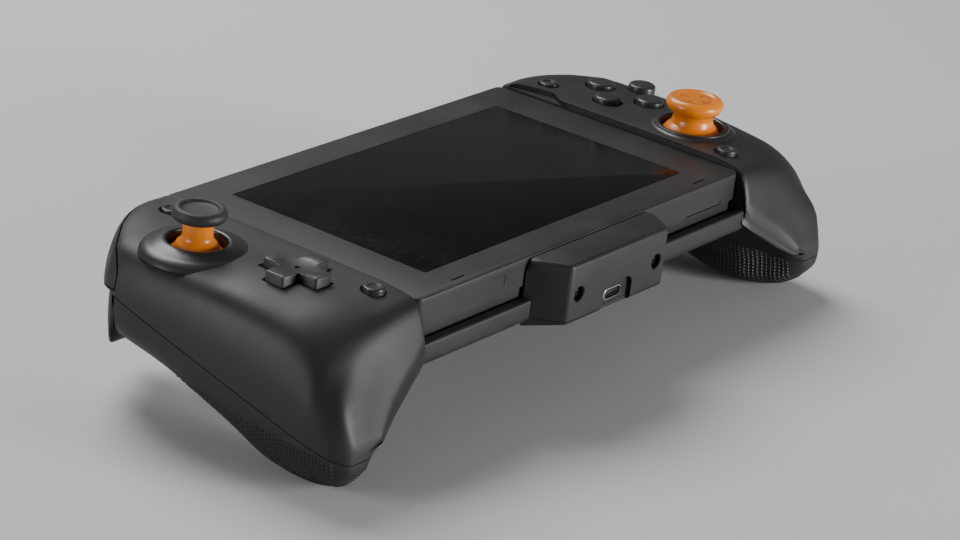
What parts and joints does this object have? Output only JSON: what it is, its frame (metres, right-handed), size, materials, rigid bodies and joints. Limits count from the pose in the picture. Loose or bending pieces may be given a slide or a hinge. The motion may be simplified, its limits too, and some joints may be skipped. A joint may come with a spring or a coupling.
{
  "type": "handheld game console in a controller grip",
  "caption": "Flat tablet game console held in a one-piece controller grip with two handles, thumbsticks, crosspad, face buttons, triggers and a bottom clasp block.",
  "frame": {"origin": "centre of the front face of the console's screen glass", "axes": "+X to the right along the screen, +Y towards the console's top edge, +Z out of the screen"},
  "size_m": [0.2672, 0.1151, 0.0642],
  "materials": {
    "grip_plastic": "fine matt grain",
    "ring_plastic": "satin",
    "key_plastic": "satin",
    "button_plastic": "semi-gloss",
    "inner_plastic": "moulded",
    "orange_plastic": "semi-gloss",
    "cap_rubber": "matt",
    "console_plastic": "fine matt grain",
    "screen_glass": "polished, dark",
    "panel": "unlit display",
    "steel": "satin",
    "screw_steel": "blackened",
    "circuit": "solder mask",
    "battery_wrap": "film wrap",
    "rail_plastic": "satin",
    "ribbon": "polyimide film",
    "mat_rubber": "matt"
  },
  "bodies": {
    "controller": {"front_shell_left": "grip_plastic", "front_shell_right": "grip_plastic", "back_shell_left": "grip_plastic", "back_shell_right": "grip_plastic", "rear_tray": "grip_plastic", "ribbon_cable": "ribbon", "clasp_cover": "grip_plastic", "clasp_base": "grip_plastic", "console_plug": "steel", "charging_port": "steel", "trigger_pins": "steel", "stick_module_left": "inner_plastic", "stick_module_right": "inner_plastic", "stick_rings": "ring_plastic", "control_boards": "circuit", "button_mats": "mat_rubber", "rumble_motors": "steel", "housing_screws": "screw_steel", "trigger_spring_left": "steel", "trigger_spring_right": "steel"},
    "console": {"front_bezel": "console_plastic", "middle_band": "console_plastic", "rear_shell": "console_plastic", "display_glass": "screen_glass", "display_panel": "panel", "inner_shield": "steel", "main_board": "circuit", "battery": "battery_wrap", "cooling_fan": "inner_plastic", "speakers": "inner_plastic", "side_rails": "rail_plastic", "console_socket": "steel"},
    "power_key": {"power_key": "button_plastic"},
    "volume_rocker": {"volume_rocker": "button_plastic"},
    "card_door": {"card_door": "console_plastic"},
    "crosspad_rocker": {"crosspad_rocker": "inner_plastic"},
    "crosspad": {"crosspad": "button_plastic"},
    "stick_left": {"stick_skirt_left": "orange_plastic", "stick_cap_left": "cap_rubber"},
    "stick_right": {"stick_cap_right": "orange_plastic"},
    "bumper_left": {"bumper_left": "key_plastic"},
    "trigger_left": {"trigger_left": "key_plastic"},
    "rumble_weight_left": {"rumble_weight_left": "steel"},
    "gimbal_left": {"stick_gimbal_left": "inner_plastic"},
    "spindle_left": {"stick_spindle_left": "inner_plastic"},
    "bumper_right": {"bumper_right": "key_plastic"},
    "trigger_right": {"trigger_right": "key_plastic"},
    "rumble_weight_right": {"rumble_weight_right": "steel"},
    "gimbal_right": {"stick_gimbal_right": "inner_plastic"},
    "spindle_right": {"stick_spindle_right": "inner_plastic"},
    "face_button_top": {"face_button_top": "button_plastic"},
    "face_button_right": {"face_button_right": "button_plastic"},
    "face_button_bottom": {"face_button_bottom": "button_plastic"},
    "face_button_left": {"face_button_left": "button_plastic"},
    "minus_button": {"minus_button": "button_plastic"},
    "plus_button": {"plus_button": "button_plastic"},
    "capture_button": {"capture_button": "button_plastic"},
    "home_button": {"home_button": "button_plastic"}
  },
  "joints": [
    {"name": "console_slide", "type": "slide", "parent": "controller", "child": "console", "axis": [0, 1, 0], "range_m": [0, 0.11]},
    {"name": "power_key_press", "type": "slide", "parent": "console", "child": "power_key", "axis": [0, -1, 0], "range_m": [0, 0.0005], "stiffness_N_per_m": 1500, "springref_m": -0.0005},
    {"name": "volume_rocker_tilt", "type": "hinge", "parent": "console", "child": "volume_rocker", "pos_m": [-0.05, 0.0496, -0.0055], "axis": [0, 0, 1], "range_deg": [-1.5, 1.5], "stiffness_Nm_per_rad": 0.05},
    {"name": "card_door_hinge", "type": "hinge", "parent": "console", "child": "card_door", "pos_m": [0.052, 0.0502, -0.0074], "axis": [-1, 0, 0], "range_deg": [0, 80]},
    {"name": "bumper_left_press", "type": "hinge", "parent": "controller", "child": "bumper_left", "pos_m": [-0.099, 0.048, -0.005], "axis": [0, 0, 1], "range_deg": [0, 0.9], "stiffness_Nm_per_rad": 3, "springref_deg": -1.15},
    {"name": "trigger_left_pull", "type": "hinge", "parent": "controller", "child": "trigger_left", "pos_m": [-0.105, 0.037, -0.0155], "axis": [-1, 0, 0], "range_deg": [0, 9], "stiffness_Nm_per_rad": 0.15, "springref_deg": -5.73, "deforming": ["trigger_spring_left"]},
    {"name": "stick_left_tilt_y", "type": "hinge", "parent": "controller", "child": "gimbal_left", "pos_m": [-0.1115, 0.0145, -0.006], "axis": [1, 0, 0], "range_deg": [-13, 13], "stiffness_Nm_per_rad": 0.06},
    {"name": "stick_left_tilt_x", "type": "hinge", "parent": "gimbal_left", "child": "spindle_left", "pos_m": [-0.1115, 0.0145, -0.006], "axis": [0, 1, 0], "range_deg": [-13, 13], "stiffness_Nm_per_rad": 0.06},
    {"name": "stick_left_click", "type": "slide", "parent": "spindle_left", "child": "stick_left", "axis": [0, 0, -1], "range_m": [0, 0.0004], "stiffness_N_per_m": 3000, "springref_m": -0.0005},
    {"name": "rumble_weight_left_spin", "type": "hinge", "parent": "controller", "child": "rumble_weight_left", "pos_m": [-0.124, -0.039, -0.031], "axis": [1, 0, 0], "continuous": true},
    {"name": "bumper_right_press", "type": "hinge", "parent": "controller", "child": "bumper_right", "pos_m": [0.099, 0.048, -0.005], "axis": [0, 0, -1], "range_deg": [0, 0.9], "stiffness_Nm_per_rad": 3, "springref_deg": -1.15},
    {"name": "trigger_right_pull", "type": "hinge", "parent": "controller", "child": "trigger_right", "pos_m": [0.105, 0.037, -0.0155], "axis": [-1, 0, 0], "range_deg": [0, 9], "stiffness_Nm_per_rad": 0.15, "springref_deg": -5.73, "deforming": ["trigger_spring_right"]},
    {"name": "stick_right_tilt_y", "type": "hinge", "parent": "controller", "child": "gimbal_right", "pos_m": [0.1045, -0.0187, -0.006], "axis": [1, 0, 0], "range_deg": [-13, 13], "stiffness_Nm_per_rad": 0.06},
    {"name": "stick_right_tilt_x", "type": "hinge", "parent": "gimbal_right", "child": "spindle_right", "pos_m": [0.1045, -0.0187, -0.006], "axis": [0, 1, 0], "range_deg": [-13, 13], "stiffness_Nm_per_rad": 0.06},
    {"name": "stick_right_click", "type": "slide", "parent": "spindle_right", "child": "stick_right", "axis": [0, 0, -1], "range_m": [0, 0.0004], "stiffness_N_per_m": 3000, "springref_m": -0.0005},
    {"name": "rumble_weight_right_spin", "type": "hinge", "parent": "controller", "child": "rumble_weight_right", "pos_m": [0.124, -0.039, -0.031], "axis": [1, 0, 0], "continuous": true},
    {"name": "crosspad_tilt_y", "type": "hinge", "parent": "controller", "child": "crosspad_rocker", "pos_m": [-0.1045, -0.0187, -0.0043], "axis": [1, 0, 0], "range_deg": [-3.5, 3.5], "stiffness_Nm_per_rad": 0.1},
    {"name": "crosspad_tilt_x", "type": "hinge", "parent": "crosspad_rocker", "child": "crosspad", "pos_m": [-0.1045, -0.0187, -0.0043], "axis": [0, 1, 0], "range_deg": [-3.5, 3.5], "stiffness_Nm_per_rad": 0.1},
    {"name": "face_button_top_press", "type": "slide", "parent": "controller", "child": "face_button_top", "axis": [0, 0, -1], "range_m": [0, 0.0014], "stiffness_N_per_m": 400, "springref_m": -0.0005},
    {"name": "face_button_right_press", "type": "slide", "parent": "controller", "child": "face_button_right", "axis": [0, 0, -1], "range_m": [0, 0.0014], "stiffness_N_per_m": 400, "springref_m": -0.0005},
    {"name": "face_button_bottom_press", "type": "slide", "parent": "controller", "child": "face_button_bottom", "axis": [0, 0, -1], "range_m": [0, 0.0014], "stiffness_N_per_m": 400, "springref_m": -0.0005},
    {"name": "face_button_left_press", "type": "slide", "parent": "controller", "child": "face_button_left", "axis": [0, 0, -1], "range_m": [0, 0.0014], "stiffness_N_per_m": 400, "springref_m": -0.0005},
    {"name": "minus_button_press", "type": "slide", "parent": "controller", "child": "minus_button", "axis": [0, 0, -1], "range_m": [0, 0.0007], "stiffness_N_per_m": 600, "springref_m": -0.0004},
    {"name": "plus_button_press", "type": "slide", "parent": "controller", "child": "plus_button", "axis": [0, 0, -1], "range_m": [0, 0.0007], "stiffness_N_per_m": 600, "springref_m": -0.0004},
    {"name": "capture_button_press", "type": "slide", "parent": "controller", "child": "capture_button", "axis": [0, 0, -1], "range_m": [0, 0.0007], "stiffness_N_per_m": 600, "springref_m": -0.0004},
    {"name": "home_button_press", "type": "slide", "parent": "controller", "child": "home_button", "axis": [0, 0, -1], "range_m": [0, 0.0007], "stiffness_N_per_m": 600, "springref_m": -0.0004}
  ]
}
